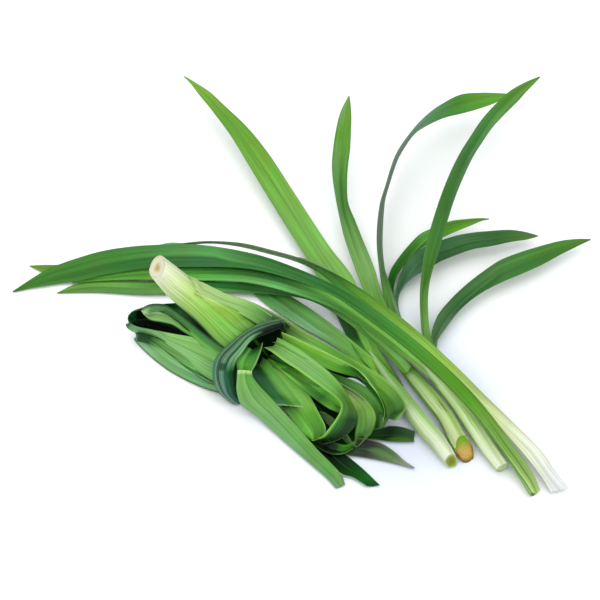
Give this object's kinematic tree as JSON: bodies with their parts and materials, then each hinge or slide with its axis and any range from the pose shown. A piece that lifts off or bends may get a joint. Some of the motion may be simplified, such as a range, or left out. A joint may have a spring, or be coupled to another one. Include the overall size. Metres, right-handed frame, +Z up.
{
  "type": "pandan leaf bunch",
  "caption": "Bunch of long green pandan leaves lying on a surface: loose leafy shoots fanned out behind a folded bundle tied with a leaf.",
  "frame": {"origin": "middle of the bounding box, on the surface the bunch lies on", "axes": "+X runs to the right of the picture, from the arch's tips towards the fanned shoots' side; +Y runs away from the viewer, from the cut bases to the fanned tips; +Z is up"},
  "size_m": [0.5083, 0.4828, 0.0895],
  "materials": {
    "leaf_green": "satin",
    "leaf_tie": "satin"
  },
  "bodies": {
    "root": {"shoot_a": "leaf_green", "shoot_b": "leaf_green", "shoot_c": "leaf_green", "leaf_top": "leaf_green", "leaf_back": "leaf_green", "leaf_torn": "leaf_green", "bundle": "leaf_green", "tie_leaf": "leaf_tie"}
  },
  "joints": []
}
